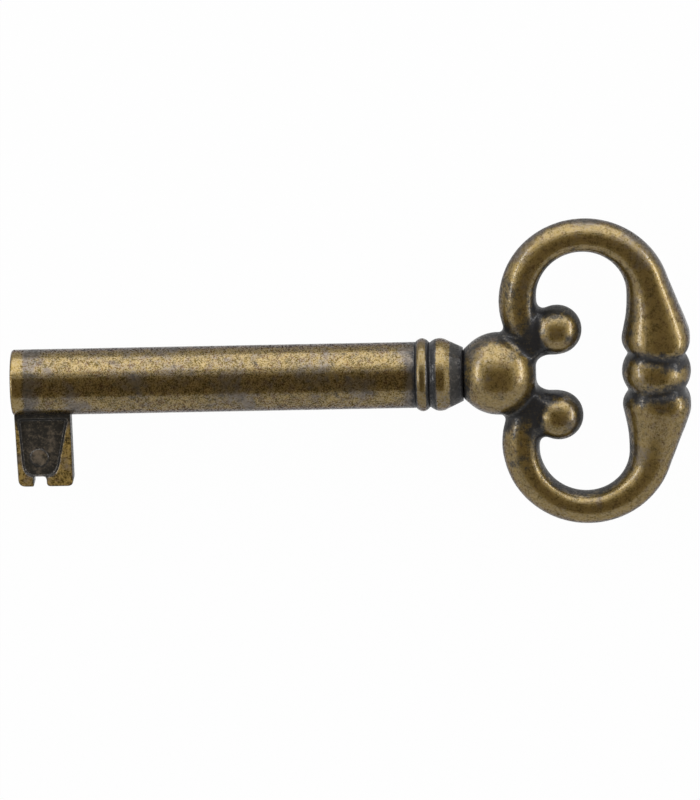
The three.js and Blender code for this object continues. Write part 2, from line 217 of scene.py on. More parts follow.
class BitSizes(bpy.types.PropertyGroup):
    setback: length("Setback", "Distance of the bit from the tip", BIT_LOW.x - BARREL_LOW.x)
    width: length("Width", "Width along the shank", BIT_HIGH.x - BIT_LOW.x)
    height: length("Height", "Height with the tenon", BIT_HIGH.y - BIT_LOW.y)
    foot: length("Foot", "Distance of the foot from the shank's axis", -BIT_LOW.y)
    thickness: length("Thickness", "Thickness of the plate", BIT_HIGH.z - BIT_LOW.z)
    tenon: length("Tenon thickness", "Thickness of the tenon that sits in the shank's slot", 0.0016)
    front_lean: length("Front lean", "How far the front edge leans back at the foot", 0.00015)
    front_round: length("Front rounding", "Rounding of the front corner", 0.0008)
    back_round: length("Back rounding", "Rounding of the back corner", 0.0006)
    notch_width: length("Notch width", "Width of the warding notch", 0.00137)
    notch_depth: length("Notch depth", "Depth of the warding notch", 0.00108)
    notch_setback: length("Notch setback", "Distance of the notch from the front edge", 0.0018)
    notch_round: length("Notch rounding", "Rounding of the notch's back corners", 0.00042)
    notch_front_round: length("Notch front rounding", "Rounding of the notch's front corner", 0.00015)
    panel_depth: length("Panel depth", "Depth of the sunk panels", 0.00035)
    panel_front: length("Panel front border", "Border at the front", 0.0006)
    panel_back: length("Panel back border", "Border at the back", 0.00055)
    panel_head: length("Panel head border", "Border below the shoulder", 0.0005)
    panel_foot: length("Panel foot border", "Border above the foot", 0.00125)
    panel_front_taper: length("Panel front taper", "How far the front side slants", 0.00035)
    panel_back_taper: length("Panel back taper", "How far the back side slants", 0.0013)
    panel_head_round: length("Panel head rounding", "Rounding of the upper corners", 0.00035)
    panel_foot_round: length("Panel foot rounding", "Rounding of the lower corners", 0.0012)
    boss_diameter: length("Boss diameter", "Diameter of the plain boss", 0.0019)
    boss_rise: length("Boss rise", "Rise of the boss above the panel", 0.00014)
    cope: length("Cope", "How far the bit's hollowed shoulders sit in the shank's side", 0.00008)
    wall_slope: length("Wall slope", "How far the panel's walls slope outwards", 0.00028)
    head_film: length("Head film", "Height above the foot where the film below the shank ends", 0.0078)
    head_fade: length("Head fade", "Length over which that film fades", 0.0012)


class CollarSizes(bpy.types.PropertyGroup):
    edge: length("Ring edge", "Diameter at the first ring's edges", 0.0070)
    groove_floor: length("Groove", "Diameter in the groove between the rings", 0.0069)
    groove_width: length("Groove width", "Width of the groove between the rings", 0.00015)
    ring_width: length("Ring width", "Width of the second ring", 0.00178)
    ring_edge: length("Second ring edge", "Diameter where the cone begins", 0.00727)
    cone_end: length("Cone end", "Diameter at the neck", 0.0057)
    bore: length("Bore", "Diameter of the bore for the stem", 0.0040)


class BowSizes(bpy.types.PropertyGroup):
    stem: length("Stem", "Diameter of the stem in the shank", 0.0038)
    ball: length("Ball", "Diameter of the ball", BOW_HIGH.z - BOW_LOW.z)
    neck: length("Neck", "Diameter of the neck", 0.0055)
    neck_length: length("Neck length", "Length of the neck", 0.00027)
    flat: length("Ball flat", "Depth of the flat behind the ball", 0.0004)
    web: length("Web", "Thickness of the web", 0.0018)
    web_fillet: length("Web fillet", "Fillet in the fork's corners", 0.00105)
    eye_reach: length("Eye reach", "Distance of the eyes from the ball's middle", 0.00632)
    eye: length("Eye", "Diameter of the scrolls' eyes", 0.00528)
    bell_radius: length("Bell bend", "Radius of the arm along the bell", 0.035)
    crown_radius: length("Crown bend", "Radius of the arm over its crown", 0.00693)
    tail_radius: length("Tail bend", "Radius of the tail", 0.00775)
    curl_radius: length("Curl bend", "Radius of the curl round the eye", 0.0029)
    bell_turn: angle("Bell turn", "Turn of the arm along the bell", 12.5)
    crown_turn: angle("Crown turn", "Turn of the arm over its crown", 156.6)
    tail_turn: angle("Tail turn", "Turn of the tail", 52.5)
    curl_turn: angle("Curl turn", "Turn of the curl", 22.0)
    bell: length("Bell", "Diameter of the bells", 0.00731)
    arm: length("Arm", "Diameter of the arm", 0.00354)
    shoulder: length("Shoulder", "Diameter of the arm's shoulder", 0.00398)
    tail: length("Tail", "Diameter of the tail", 0.0033)
    curl_tip: length("Curl tip", "Diameter at the curl's end", 0.0007)
    arm_depth: amount("Arm depth", "Depth of the arm as a share of its width", 1.2)
    arm_lean: share("Arm lean", "Lean of the arm's crest towards the bead, as a share of its height", 0.27)
    arm_drop: share("Arm drop", "Lean of the arm's crest towards the shank's line", 0.15)
    bead: length("Bead", "Diameter of the bead", 0.00733)
    bead_height: length("Bead height", "Height of the bead", 0.00405)
    bead_groove: length("Bead groove", "Diameter in the grooves beside the bead", 0.00575)


class WearSizes(bpy.types.PropertyGroup):
    tip_start: length("Tip start", "Where the rubbed band at the tip starts", 0.0001)
    tip_band: length("Tip band", "Where the rubbed band at the tip ends", 0.00125)
    tip_fade: length("Tip fade", "Where the film behind the rubbed tip begins to fade", 0.0018)
    tip_film: length("Tip film", "Where the film behind the rubbed tip ends", 0.0042)
    collar_film: length("Collar film", "Length of the filmed stretch before the collar", 0.0018)
    ring_margin: length("Ring margin", "Filmed margin of the first ring towards the tip", 0.00008)
    ring_flank: length("Ring flank", "Filmed flank of the first ring towards the groove", 0.00024)
    ferrule_flank: length("Ferrule flank", "Filmed flank of the second ring", 0.00072)
    ferrule_band: length("Ferrule band", "Rubbed band of the second ring", 0.00153)
    soft: length("Softness", "Softness of the rubbed bands' edges", 0.00012)


class FinishSettings(bpy.types.PropertyGroup):
    gold: colour("Gold", "Rubbed brass", (0.2, 0.139, 0.043, 1.0))
    olive: colour("Olive", "Aged brass", (0.066, 0.045, 0.009, 1.0))
    umber: colour("Umber", "Brown tarnish", (0.075, 0.042, 0.014, 1.0))
    mauve: colour("Mauve", "Grey film on the brass", (0.105, 0.087, 0.071, 1.0))
    slate: colour("Slate", "Thick film where the metal is sheltered", (0.032, 0.030, 0.027, 1.0))
    soot: colour("Soot", "Grime in the crevices", (0.017, 0.017, 0.019, 1.0))
    fleck: length("Fleck", "Size of the fine flecks", 0.00018)
    blotch: length("Blotch", "Size of the blotches", 0.0008)
    cloud: length("Cloud", "Size of the clouds", 0.0035)
    worn_roughness: share("Worn roughness", "Roughness of rubbed brass", 0.24)
    dull_roughness: share("Dull roughness", "Roughness of grime", 0.5)
    lacquer: share("Lacquer", "Weight of the clear film", 1.0)
    lacquer_roughness: share("Lacquer roughness", "Roughness of the clear film", 0.16)


class StageSettings(bpy.types.PropertyGroup):
    distance: length("Distance", "Distance of the camera", 0.74159)
    roll: angle("Roll", "Turn of the view about the shank", 16.842)
    turn: angle("Turn", "Turn of the view about the upright", -2.789)
    tilt: angle("Tilt", "Turn of the picture", 1.911)
    pixel: length("Pixel", "Width of one pixel at the key", 0.00010594)
    aim_x: signed_length("Aim along", "Aim point along the key", -0.0005034)
    shift_x: signed_length("Sideways", "Camera moved aside", -0.0004015)
    shift_y: signed_length("Upwards", "Camera moved up", 0.0025209)
    lamp_distance: length("Lamp distance", "Distance of the soft boxes", 0.42)
    top_light: amount("Top light", "Brightness of the upper soft box", 2.0)
    side_light: amount("Side light", "Brightness of the soft boxes at the sides", 6.5)
    world_light: amount("Room light", "Brightness of the room on matt surfaces", 0.35)
    card: colour("Card", "Colour of the dark card behind the camera", (0.3, 0.25, 0.165, 1.0))
    card_distance: length("Card distance", "Distance of the dark card", 0.95)
    floor_share: share("Floor white", "Share of the floor that stays white", 0.98)


def in_mm(settings):
    """A property group's values, with its lengths in millimetres"""
    values = {}
    for name in settings.__annotations__:
        unit = settings.bl_rna.properties[name].unit
        value = getattr(settings, name)
        values[name] = value * MM_PER_METRE if unit == "LENGTH" else value
    return SimpleNamespace(**values)


def from_tip(x):
    """A place along the key in the shared frame, in millimetres from the tip"""
    return (x - TIP.x) * MM_PER_METRE


def even(points, step):
    """The same outline with no stretch longer than the step"""
    result = [points[0]]
    for start, end in zip(points, points[1:]):
        count = max(1, math.ceil((end - start).length / step))
        result += [start.lerp(end, i / count) for i in range(1, count + 1)]
    return result


def rectangle(left, right, low, high):
    return [Vector((left, low)), Vector((right, low)), Vector((right, high)), Vector((left, high))]


def rounded(corners):
    """Points of a closed outline through (place, rounding) corners"""
    points = []
    for i, (corner, size) in enumerate(corners):
        if size == 0:
            points.append(corner)
            continue
        before = corners[i - 1][0]
        after = corners[(i + 1) % len(corners)][0]
        enter = corner + (before - corner).normalized() * size
        leave = corner + (after - corner).normalized() * size
        for step in range(CORNER_STEPS + 1):
            t = step / CORNER_STEPS
            points.append(enter.lerp(corner, t).lerp(corner.lerp(leave, t), t))
    return points


def arc(start, crest, end):
    """Points from start to end that swell to the crest half way"""
    middle = 2 * crest - (start + end) / 2
    shares = [i / CORNER_STEPS / 2 for i in range(2 * CORNER_STEPS + 1)]
    return [start.lerp(middle, t).lerp(middle.lerp(end, t), t) for t in shares]


def mesh_from(bm, name):
    mesh = bpy.data.meshes.new(name)
    bm.to_mesh(mesh)
    bm.free()
    return mesh


def turned(name, profile, axis=(1, 0, 0), place=(0, 0, 0), closed=False):
    """A skin turned from an outline of (distance along the axis, radius)"""
    bm = bmesh.new()
    along = Vector(axis)
    verts = [bm.verts.new(along * p.x + Vector((0, 0, p.y))) for p in profile]
    pairs = list(zip(verts, verts[1:]))
    if closed:
        pairs.append((verts[-1], verts[0]))
    edges = [bm.edges.new(pair) for pair in pairs]
    bmesh.ops.spin(bm, geom=verts + edges, cent=(0, 0, 0), axis=along, dvec=(0, 0, 0), angle=math.tau,
                   steps=TURNED_STEPS, use_merge=True, use_normal_flip=False, use_duplicate=False)
    bmesh.ops.remove_doubles(bm, verts=bm.verts, dist=WELD)
    bmesh.ops.recalc_face_normals(bm, faces=bm.faces)
    bmesh.ops.translate(bm, verts=bm.verts, vec=place)
    return mesh_from(bm, name)


def bored(name, outline, bore):
    """A turned ring whose ends run in to its bore"""
    first, last = (Vector((end.x, bore / 2)) for end in (outline[0], outline[-1]))
    return turned(name, even([first] + outline + [last], PROFILE_STEP), closed=True)


def plate(bm, outline, low, high):
    """Raise a flat outline into a plate between two levels"""
    base = [bm.verts.new((p.x, p.y, low)) for p in outline]
    raised = bmesh.ops.extrude_face_region(bm, geom=[bm.faces.new(base)])
    verts = [item for item in raised["geom"] if isinstance(item, bmesh.types.BMVert)]
    bmesh.ops.translate(bm, verts=verts, vec=(0, 0, high - low))
    sides = {face for vert in base + verts for face in vert.link_faces}
    bmesh.ops.recalc_face_normals(bm, faces=list(sides))
    return verts


def plate_mesh(name, outline, thickness):
    bm = bmesh.new()
    plate(bm, outline, -thickness / 2, thickness / 2)
    return mesh_from(bm, name)


def new_object(name, data):
    obj = bpy.data.objects.new(name, data)
    bpy.context.scene.collection.objects.link(obj)
    return obj


def applied(obj):
    """An object's mesh with its modifiers applied; the object itself is dropped"""
    graph = bpy.context.evaluated_depsgraph_get()
    mesh = bpy.data.meshes.new_from_object(obj.evaluated_get(graph))
    bpy.data.objects.remove(obj)
    return mesh


def cut(mesh, cutter):
    """A mesh with another taken out of it"""
    body = new_object("body", mesh)
    tool = new_object("tool", cutter)
    modifier = body.modifiers.new("Cut", "BOOLEAN")
    modifier.operation = "DIFFERENCE"
    modifier.solver = "EXACT"
    modifier.object = tool
    result = applied(body)
    bpy.data.objects.remove(tool)
    return result


def add_join(obj, voxel):
    modifier = obj.modifiers.new("Join", "REMESH")
    modifier.mode = "VOXEL"
    modifier.voxel_size = voxel


def add_push(obj, distance):
    modifier = obj.modifiers.new("Push", "DISPLACE")
    modifier.strength = distance
    modifier.mid_level = 0.0


def add_soften(obj, rounds):
    modifier = obj.modifiers.new("Soften", "SMOOTH")
    modifier.factor = SOFTEN_SHARE
    modifier.iterations = rounds


def skinned(mesh, voxel, fillet, rounds):
    """One cast skin round overlapping shapes, with its crevices filled by a fillet and its edges softened"""
    obj = new_object("casting", mesh)
    add_join(obj, voxel)
    if fillet:
        add_push(obj, fillet)
        add_join(obj, voxel)
        add_soften(obj, SWOLLEN_SOFTEN_ROUNDS)
        add_push(obj, -fillet)
        add_join(obj, voxel)
    add_soften(obj, rounds)
    return applied(obj)


def finish_piece(mesh, name, node):
    """Set a finished shape in the shared frame, hang it under the root body and hide its node's imported part
    """
    mesh.transform(Matrix.Translation(TIP) @ Matrix.Scale(1 / MM_PER_METRE, 4))
    mesh.shade_smooth()
    piece = new_object(name, mesh)
    mesh.name = name
    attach(piece, "root")
    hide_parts(node)


def barrel_mesh(size):
    """The hollow shank, turned round its bore"""
    outer = size.diameter / 2
    bore = size.bore / 2
    outline = rounded([
        (Vector((0, bore)), size.rim_round),
        (Vector((0, outer)), size.rim_round),
        (Vector((size.shank_length, outer)), size.end_round),
        (Vector((size.shank_length, bore)), 0),
    ])
    return turned("barrel", even(outline + [outline[0]], PROFILE_STEP)[:-1], closed=True)


def slot_mesh(barrel, bit):
    """The slot for the bit's tenon, open at the tip and below"""
    end = bit.setback + bit.width + barrel.clearance
    floor = bit.height - bit.foot + barrel.clearance
    overrun = barrel.diameter
    return plate_mesh("slot", rectangle(-overrun, end, -overrun, floor), bit.tenon + 2 * barrel.clearance)


def bit_outline(bit):
    front = bit.setback
    back = bit.setback + bit.width
    head = bit.height - bit.foot
    foot = -bit.foot
    notch_front = front + bit.notch_setback
    notch_back = notch_front + bit.notch_width
    notch_top = foot + bit.notch_depth
    return rounded([
        (Vector((front, head)), 0),
        (Vector((front + bit.front_lean, foot)), bit.front_round),
        (Vector((notch_front, foot)), bit.notch_front_round),
        (Vector((notch_front, notch_top)), 0),
        (Vector((notch_back, notch_top)), bit.notch_round),
        (Vector((notch_back, foot)), bit.notch_round),
        (Vector((back, foot)), bit.back_round),
        (Vector((back, head)), 0),
    ])


def shank_mesh(bit, barrel):
    """The shank's outside, a little smaller, which hollows the bit's shoulders"""
    bm = bmesh.new()
    radius = barrel.diameter / 2 - bit.cope
    bmesh.ops.create_cone(bm, cap_ends=True, segments=TURNED_STEPS, radius1=radius, radius2=radius,
                          depth=CUTTER_SPAN * bit.width, matrix=Matrix.Rotation(math.pi / 2, 4, "Y"))
    return mesh_from(bm, "shank")


def panel_outline(bit, barrel):
    """The sunk panel narrows towards the foot"""
    head = -barrel.diameter / 2 - bit.panel_head
    foot = -bit.foot + bit.panel_foot
    front = bit.setback + bit.panel_front
    back = bit.setback + bit.width - bit.panel_back
    return rounded([
        (Vector((front, head)), bit.panel_head_round),
        (Vector((front + bit.panel_front_taper, foot)), bit.panel_foot_round),
        (Vector((back - bit.panel_back_taper, foot)), bit.panel_foot_round),
        (Vector((back, head)), bit.panel_head_round),
    ])


def recess_mesh(bit, barrel, side):
    """What is sunk into one face of the plate, with sloping walls"""
    outline = panel_outline(bit, barrel)
    middle = sum(outline, Vector((0, 0))) / len(outline)
    floor = bit.thickness / 2 - bit.panel_depth
    rise = 2 * bit.panel_depth
    flare = bit.wall_slope * rise / bit.panel_depth
    spans = [max(point[axis] for point in outline) - min(point[axis] for point in outline) for axis in (0, 1)]
    growth = [1 + 2 * flare / span for span in spans]
    bm = bmesh.new()
    raised = plate(bm, outline, floor, floor + rise)
    bmesh.ops.scale(bm, vec=(*growth, 1), space=Matrix.Translation((-middle.x, -middle.y, 0)), verts=raised)
    if side < 0:
        bmesh.ops.transform(bm, matrix=Matrix.Diagonal((1, 1, -1, 1)), verts=bm.verts)
        bmesh.ops.reverse_faces(bm, faces=bm.faces)
    return mesh_from(bm, "recess")


def add_bosses(bm, bit):
    """A plain low boss in each panel, above the notch"""
    x = bit.setback + bit.notch_setback + bit.notch_width / 2
    y = bit.panel_foot + bit.boss_diameter - bit.foot
    middle = (bit.thickness + bit.boss_rise - bit.panel_depth) / 2 - bit.panel_depth
    radius = bit.boss_diameter / 2
    for side in (1, -1):
        bmesh.ops.create_cone(bm, cap_ends=True, segments=BALL_STEPS, radius1=radius, radius2=radius,
                              depth=bit.boss_rise + bit.panel_depth,
                              matrix=Matrix.Translation((x, y, side * middle)))


def bit_mesh(bit, barrel):
    """The plate with a sunk panel and a boss in each face, and its tenon"""
    mesh = cut(plate_mesh("bit", bit_outline(bit), bit.thickness), shank_mesh(bit, barrel))
    for side in (1, -1):
        mesh = cut(mesh, recess_mesh(bit, barrel, side))
    bm = bmesh.new()
    bm.from_mesh(mesh)
    low = -barrel.diameter / 2 - bit.panel_head / 2
    tenon = rectangle(bit.setback, bit.setback + bit.width, low, bit.height - bit.foot)
    plate(bm, tenon, -bit.tenon / 2, bit.tenon / 2)
    add_bosses(bm, bit)
    return skinned(mesh_from(bm, "bit"), BIT_VOXEL, 0, BIT_SOFTEN_ROUNDS)


def crown(low, high, start, end):
    """The crowned outline of a ring between its two edges, as high as its box"""
    crest = (high.z - low.z) / 2 * MM_PER_METRE
    return arc(start, Vector(((start.x + end.x) / 2, crest)), end)


def ring_mesh(collar):
    """The first ring, crowned between two equal edges"""
    start, end = (Vector((from_tip(box.x), collar.edge / 2)) for box in (RING_LOW, RING_HIGH))
    return bored("ring", crown(RING_LOW, RING_HIGH, start, end), collar.bore)


def ferrule_mesh(collar):
    """The second ring and the cone that runs down to the neck"""
    start = Vector((from_tip(FERRULE_LOW.x), collar.groove_floor / 2))
    ring_start = start + Vector((collar.groove_width, 0))
    ring_end = Vector((ring_start.x + collar.ring_width, collar.ring_edge / 2))
    end = Vector((from_tip(FERRULE_HIGH.x), collar.cone_end / 2))
    outline = [start] + crown(FERRULE_LOW, FERRULE_HIGH, ring_start, ring_end) + [end]
    return bored("ferrule", outline, collar.bore)


def ball_places(bow):
    """Where the neck starts, where the ball's middle is and where its flat lies"""
    neck_start = from_tip(FERRULE_HIGH.x)
    radius = bow.ball / 2
    middle = neck_start + bow.neck_length + math.sqrt(radius ** 2 - (bow.neck / 2) ** 2)
    return neck_start, middle, middle + radius - bow.flat


def ball_mesh(bow):
    """The ball with its neck and stem, turned in one"""
    neck_start, middle, flat = ball_places(bow)
    radius = bow.ball / 2
    stem_start = from_tip(BOW_LOW.x)
    first = math.asin(bow.neck / 2 / radius)
    last = math.acos((middle - flat) / radius)
    points = [(stem_start, 0), (stem_start, bow.stem / 2), (neck_start, bow.stem / 2)]
    points.append((neck_start, bow.neck / 2))
    for step in range(ARC_STEPS + 1):
        turn = first + (last - first) * step / ARC_STEPS
        points.append((middle - radius * math.cos(turn), radius * math.sin(turn)))
    return turned("ball", [Vector(point) for point in points + [(flat, 0)]])


def arm_chain(bow):
    """Points along the middle of the upper arm with the number of arcs behind each, and the eye's middle"""
    arcs = [
        (bow.bell_radius, bow.bell_turn),
        (bow.crown_radius, bow.crown_turn),
        (bow.tail_radius, bow.tail_turn),
        (bow.curl_radius, bow.curl_turn),
    ]
    place = Vector((0, bow.bead_height / 2))
    heading = math.pi / 2
    chain = [(place, 0.0)]
    for number, (radius, turn) in enumerate(arcs):
        middle = place + radius * Vector((-math.sin(heading), math.cos(heading)))
        for step in range(1, ARC_STEPS + 1):
            along = heading + turn * step / ARC_STEPS
            place = middle + radius * Vector((math.sin(along), -math.cos(along)))
            chain.append((place, number + step / ARC_STEPS))
        heading += turn
    shift = Vector((ball_places(bow)[1] + bow.eye_reach - middle.x, 0))
    return [(point + shift, along) for point, along in chain], middle + shift


def arm_girth(bow, alongs):
    """Diameters along the arm, eased through the stops of the real one's bell, arm, shoulder and tail"""
    place_shares = [0, 0.07, 0.2, 0.4, 0.61, 1.03, 1.23, 1.47, 1.71, 1.9, 2.1, 2.5, 3, 3.5, 4]
    way_shares = [0, 0.6, 1, 0.84, 0.6, 0.25, 0.1, 0, 0, 0.5, 1, 1, 0, 0.5, 0]
    spans = 2 * [(bow.bead_groove, bow.bell)] + 5 * [(bow.arm, bow.bell)] + 4 * [(bow.arm, bow.shoulder)]
    spans += 2 * [(bow.tail, bow.shoulder)] + 2 * [(bow.curl_tip, bow.tail)]
    girths = np.array([low + (high - low) * way for (low, high), way in zip(spans, way_shares)])
    stops = np.array(place_shares, float)
    slopes = np.gradient(girths, stops)
    index = np.clip(np.searchsorted(stops, alongs, side="right") - 1, 0, len(stops) - 2)
    width = stops[index + 1] - stops[index]
    t = (np.array(alongs) - stops[index]) / width
    rise = t * t * (3 - 2 * t)
    start_lean = t * (1 - t) ** 2 * width
    end_lean = t * t * (t - 1) * width
    eased = girths[index] * (1 - rise) + girths[index + 1] * rise
    return eased + slopes[index] * start_lean + slopes[index + 1] * end_lean


def welded(mesh):
    """The curve's bar closed at its end caps"""
    bm = bmesh.new()
    bm.from_mesh(mesh)
    bmesh.ops.remove_doubles(bm, verts=bm.verts, dist=WELD)
    bmesh.ops.recalc_face_normals(bm, faces=bm.faces)
    return mesh_from(bm, "arm")


def arm_mesh(bow):
    """A bar of changing girth along the chain of arcs, whose crests lean a little towards the bead"""
    chain, _ = arm_chain(bow)
    girths = arm_girth(bow, [along for _, along in chain])
    root = Vector((chain[0][0].x, bow.bead_height * ROOT_SHARE))
    points = [(root, girths[0])] + [(place, girth) for (place, _), girth in zip(chain, girths)]
    curve = bpy.data.curves.new("arm", "CURVE")
    curve.dimensions = "3D"
    curve.twist_mode = "Z_UP"
    curve.bevel_depth = 1.0
    curve.bevel_resolution = BAR_RESOLUTION
    curve.use_fill_caps = True
    spline = curve.splines.new("POLY")
    spline.points.add(len(points) - 1)
    for point, (place, girth) in zip(spline.points, points):
        point.co = (place.x, place.y, 0, 1)
        point.radius = girth / 2
    bar = applied(new_object("arm", curve))
    for vertex in bar.vertices:
        place = vertex.co
        slim = max(0.0, 1 - abs(place.z) * 2 / bow.bell)
        rise = place.z ** 2 / (abs(place.z) + bow.arm * CREST_SHARE)
        place.x += bow.arm_lean * rise
        place.y -= bow.arm_drop * rise
        place.z *= 1 + (bow.arm_depth - 1) * slim
    return welded(bar)


def bead_mesh(bow, x):
    """A slice of a flattened ball whose ends have the groove's diameter"""
    half = bow.bead_height / 2
    semi_height = half / math.sqrt(1 - (bow.bead_groove / bow.bead) ** 2)
    outline = [Vector((-half, 0))]
    for step in range(ARC_STEPS + 1):
        y = half * (2 * step / ARC_STEPS - 1)
        outline.append(Vector((y, bow.bead / 2 * math.sqrt(1 - (y / semi_height) ** 2))))
    outline.append(Vector((half, 0)))
    return turned("bead", outline, axis=(0, 1, 0), place=(x, 0, 0))


def fork_outline(bow, eye):
    """The web between ball and scrolls, with a hollow fillet in each corner of the opening"""
    _, middle, flat = ball_places(bow)
    edge = eye.y - bow.eye / 2
    corner = flat + bow.web_fillet
    level = edge - bow.web_fillet
    outline = [Vector((middle, 0)), Vector((eye.x, -eye.y)), Vector((eye.x, -edge))]
    for side in (-1, 1):
        for step in range(CORNER_STEPS + 1):
            turn = math.pi / 2 * (step if side < 0 else CORNER_STEPS - step) / CORNER_STEPS
            hollow = Vector((-math.sin(turn), side * math.cos(turn))) * bow.web_fillet
            outline.append(Vector((corner, side * level)) + hollow)
    return outline + [Vector((eye.x, edge)), Vector((eye.x, eye.y))]


def eye_mesh(bow, eye):
    bm = bmesh.new()
    bmesh.ops.create_uvsphere(bm, u_segments=2 * BALL_STEPS, v_segments=BALL_STEPS, radius=bow.eye / 2,
                              matrix=Matrix.Translation((eye.x, eye.y, 0)))
    return mesh_from(bm, "eye")


def gathered(shapes, mirrored=()):
    """One mesh of several shapes and of the others' mirror images below the shank's line"""
    bm = bmesh.new()
    for shape in shapes:
        bm.from_mesh(shape)
    upper = len(bm.verts)
    for shape in mirrored:
        bm.from_mesh(shape)
    lower = list(bm.verts)[upper:]
    bmesh.ops.transform(bm, matrix=Matrix.Diagonal((1, -1, 1, 1)), verts=lower)
    bmesh.ops.reverse_faces(bm, faces=list({face for vert in lower for face in vert.link_faces}))
    return mesh_from(bm, "gathered")


def tree_of(meshes):
    """The faces of some meshes, to cast rays at and to measure from"""
    points, faces = [], []
    for mesh in meshes:
        offset = len(points)
        points += [vertex.co for vertex in mesh.vertices]
        faces += [[offset + i for i in face.vertices] for face in mesh.polygons]
    return BVHTree.FromPolygons(points, faces)


def crease_shares(mesh, shapes):
    """High at the seams between the named shapes, falling to nought at each shape's own reach from them"""
    trees = {name: tree_of([shape]) for name, shape in shapes.items()}
    shares = []
    for vertex in mesh.vertices:
        place = Vector((vertex.co.x, abs(vertex.co.y), vertex.co.z))
        gaps = sorted((tree.find_nearest(place)[3], name) for name, tree in trees.items())
        reach = CREASE_REACHES[gaps[0][1]]
        second, third = (max(0.0, 1 - gap / reach) for gap, _ in gaps[1:3])
        shares.append(second + THIRD_SHAPE_SHARE * third)
    return shares


def bow_mesh(bow):
    """Stem, ball, web, arms and eyes in one cast skin, with the bead set crisply between the bells"""
    chain, eye = arm_chain(bow)
    tail = [place for place, along in chain if along >= 2]
    middle = {"ball": ball_mesh(bow), "web": plate_mesh("web", fork_outline(bow, eye), bow.web)}
    half = {
        "arm": arm_mesh(bow),
        "eye": eye_mesh(bow, eye),
        "tail web": plate_mesh("tail web", [eye] + tail, bow.web),
    }
    upper = list(half.values())
    arms = skinned(gathered(list(middle.values()) + upper, upper), BOW_VOXEL, FORK_FILLET, 0)
    bead = bead_mesh(bow, chain[0][0].x)
    whole = skinned(gathered([arms, bead]), BOW_VOXEL, BEAD_FILLET, BOW_SOFTEN_ROUNDS)
    shapes = {**middle, **half, "bead": bead}
    store(whole, "crease", crease_shares(whole, shapes))
    for shape in [arms] + list(shapes.values()):
        bpy.data.meshes.remove(shape)
    return whole


def sphere_directions(count):
    """Directions spread evenly over a ball, along a spiral"""
    steps = np.arange(count) + 0.5
    height = 1 - 2 * steps / count
    turn = math.pi * (1 + math.sqrt(5)) * steps
    wide = np.sqrt(1 - height ** 2)
    return np.stack([wide * np.cos(turn), wide * np.sin(turn), height], axis=1)


def vertex_array(mesh, attribute):
    values = np.empty(len(mesh.vertices) * 3, np.float32)
    mesh.vertices.foreach_get(attribute, values)
    return values.reshape(-1, 3)


def spread(mesh, values, rounds):
    """Even out a value over neighbouring points"""
    edges = np.empty(len(mesh.edges) * 2, np.int32)
    mesh.edges.foreach_get("vertices", edges)
    a, b = edges[0::2], edges[1::2]
    count = np.bincount(edges, minlength=len(values))
    for _ in range(rounds):
        total = np.bincount(a, values[b], len(values)) + np.bincount(b, values[a], len(values))
        values = (values + total / np.maximum(count, 1)) / 2
    return values


def store(mesh, name, values):
    """Keep one value for each point of a mesh, for its material to read"""
    layer = mesh.attributes.new(name, "FLOAT", "POINT")
    layer.data.foreach_set("value", np.asarray(values, np.float32))


def crease_layer(mesh):
    """A mesh's stored creases, which are nought where it has none"""
    values = np.zeros(len(mesh.vertices), np.float32)
    if "crease" in mesh.attributes:
        mesh.attributes["crease"].data.foreach_get("value", values)
    return values


def closed_off(tree, start, facing, directions):
    """The shares of the directions above a point that metal closes off nearby and farther away"""
    near = GRIME_REACH / MM_PER_METRE
    far = SHADE_REACH / MM_PER_METRE
    grime = shade = total = 0.0
    for i in np.flatnonzero(facing > FACING_SHARE):
        weight = facing[i]
        total += weight
        distance = tree.ray_cast(start, directions[i], far)[3]
        if distance is not None:
            grime += weight * max(0.0, 1 - distance / near)
            shade += weight * (1 - (distance / far) ** 2)
    return grime / total, shade / total


def settle_grime(pieces):
    """Store how much grime and how much shade each point of the pieces gets"""
    tree = tree_of([piece.data for piece in pieces])
    directions = sphere_directions(GRIME_RAYS)
    vectors = [Vector(direction) for direction in directions]
    for piece in pieces:
        mesh = piece.data
        normals = vertex_array(mesh, "normal")
        starts = vertex_array(mesh, "co") + normals * GRIME_LIFT / MM_PER_METRE
        facings = normals @ directions.T
        closed = [closed_off(tree, Vector(start), facing, vectors) for start, facing in zip(starts, facings)]
        grime, shade = np.array(closed).T
        crease = crease_layer(mesh)
        grime = np.maximum(grime * PIECES[piece.name].grime_share, CREASE_GRIME_SHARE * crease)
        shade = np.maximum(shade, CREASE_SHADE_SHARE * crease)
        store(mesh, "grime", spread(mesh, grime, GRIME_ROUNDS))
        store(mesh, "shade", spread(mesh, shade, GRIME_ROUNDS))


def eased(values, low, high):
    """Nought below low and one above high, eased between"""
    t = np.clip((values - low) / (high - low), 0, 1)
    return t * t * (3 - 2 * t)


def within(values, start, end, soft):
    """One between start and end, and nought outside, with soft ends"""
    return eased(values, start - soft, start + soft) * (1 - eased(values, end - soft, end + soft))


def places_mm(mesh):
    """A mesh's points in millimetres from the middle of the tip"""
    return (vertex_array(mesh, "co") - np.array(TIP)) * MM_PER_METRE


def shank_wear(mesh, wear, barrel):
    """Bright where the tip is rubbed, filmed behind it and at the collar"""
    along = places_mm(mesh)[:, 0]
    tip = within(along, wear.tip_start, wear.tip_band, wear.soft)
    film = eased(along, wear.tip_band - wear.soft, wear.tip_band + wear.soft)
    film *= 1 - eased(along, wear.tip_fade, wear.tip_film)
    collar = eased(along, barrel.shank_length - wear.collar_film, barrel.shank_length - wear.soft)
    shares = SHANK_SHARES
    return shares.plain + shares.tip * tip + shares.film * film + shares.collar * collar


